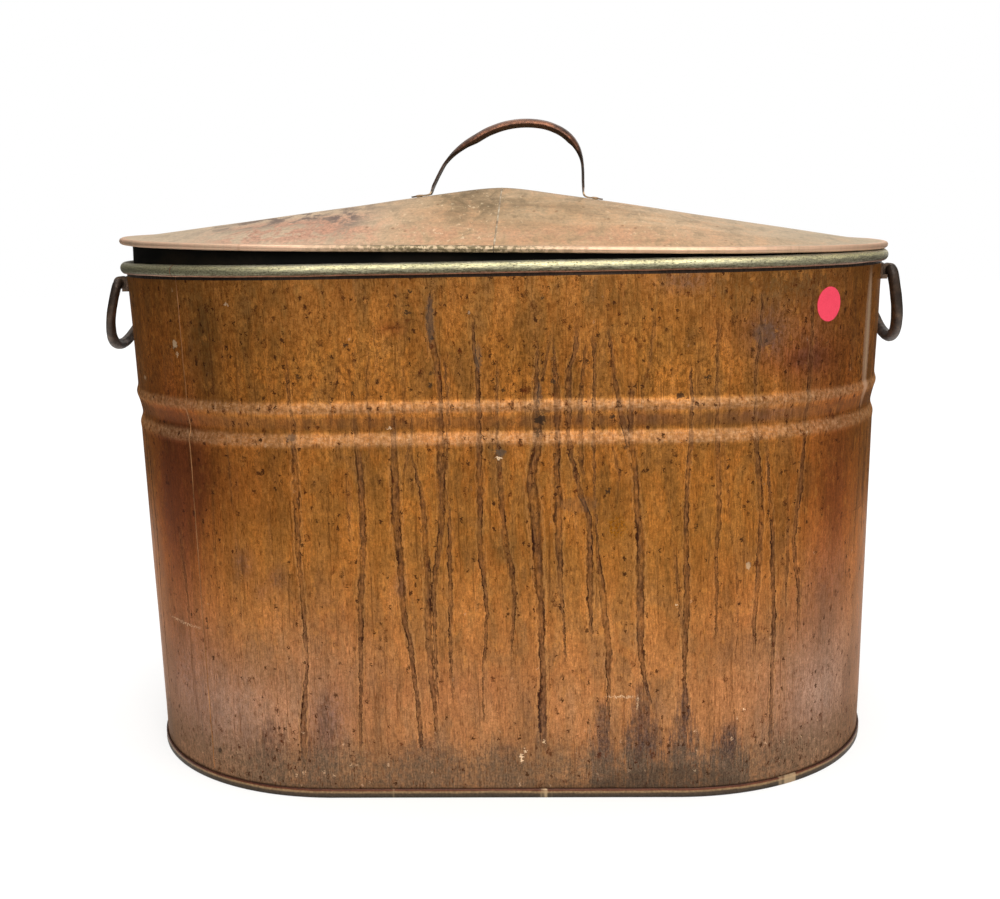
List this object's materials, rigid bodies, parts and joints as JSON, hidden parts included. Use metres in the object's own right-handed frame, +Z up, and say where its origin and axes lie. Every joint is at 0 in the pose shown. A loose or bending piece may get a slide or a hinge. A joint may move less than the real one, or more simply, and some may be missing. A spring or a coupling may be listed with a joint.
{
  "type": "laundry copper boiler",
  "caption": "Oval sheet-copper laundry boiler with tapered walls, swaged beads, a wired rim, drop handles at the ends and a lift-off pitched lid with a strap handle.",
  "frame": {"origin": "centre of the flat bottom, on the floor", "axes": "+X along the long side to the right, +Y to the back, +Z up"},
  "size_m": [0.6397, 0.356, 0.4991],
  "materials": {
    "copper_wall": "aged satin",
    "copper_lid": "aged satin",
    "copper_bottom": "dull",
    "copper_collar": "dull",
    "copper_fittings": "dull",
    "copper_strap": "aged satin",
    "handle_rod": "dull",
    "tinned_copper": "dull",
    "solder": "dull",
    "steel_rod": "dull",
    "paper": "matt"
  },
  "bodies": {
    "tub": {"body_front_sheet": "copper_wall", "body_back_sheet": "copper_wall", "side_lock_left": "tinned_copper", "side_lock_right": "tinned_copper", "seam_solder_left": "solder", "seam_solder_right": "solder", "bottom_pan": "copper_bottom", "bottom_solder": "solder", "rim_wire": "steel_rod", "ear_band_left": "copper_fittings", "ear_band_right": "copper_fittings", "ear_rivets_left": "copper_fittings", "ear_rivets_right": "copper_fittings", "ear_burrs_left": "copper_fittings", "ear_burrs_right": "copper_fittings", "paper_dot": "paper"},
    "lid": {"lid_left_panel": "copper_lid", "lid_right_panel": "copper_lid", "lid_seam_cleat": "tinned_copper", "lid_seam_solder": "solder", "lid_hem_wire": "steel_rod", "lid_collar": "copper_collar", "lid_handle": "copper_strap", "lid_handle_rivets": "copper_fittings", "lid_handle_burrs": "copper_fittings"},
    "handle_left": {"handle_left": "handle_rod"},
    "handle_right": {"handle_right": "handle_rod"}
  },
  "joints": [
    {"name": "lid_lift", "type": "slide", "parent": "tub", "child": "lid", "axis": [0, 0, 1], "range_m": [0, 0.25]},
    {"name": "left_handle_hinge", "type": "hinge", "parent": "tub", "child": "handle_left", "pos_m": [-0.301, 0, 0.377], "axis": [0, 1, 0], "range_deg": [0, 150]},
    {"name": "right_handle_hinge", "type": "hinge", "parent": "tub", "child": "handle_right", "pos_m": [0.301, 0, 0.377], "axis": [0, -1, 0], "range_deg": [0, 150]}
  ]
}
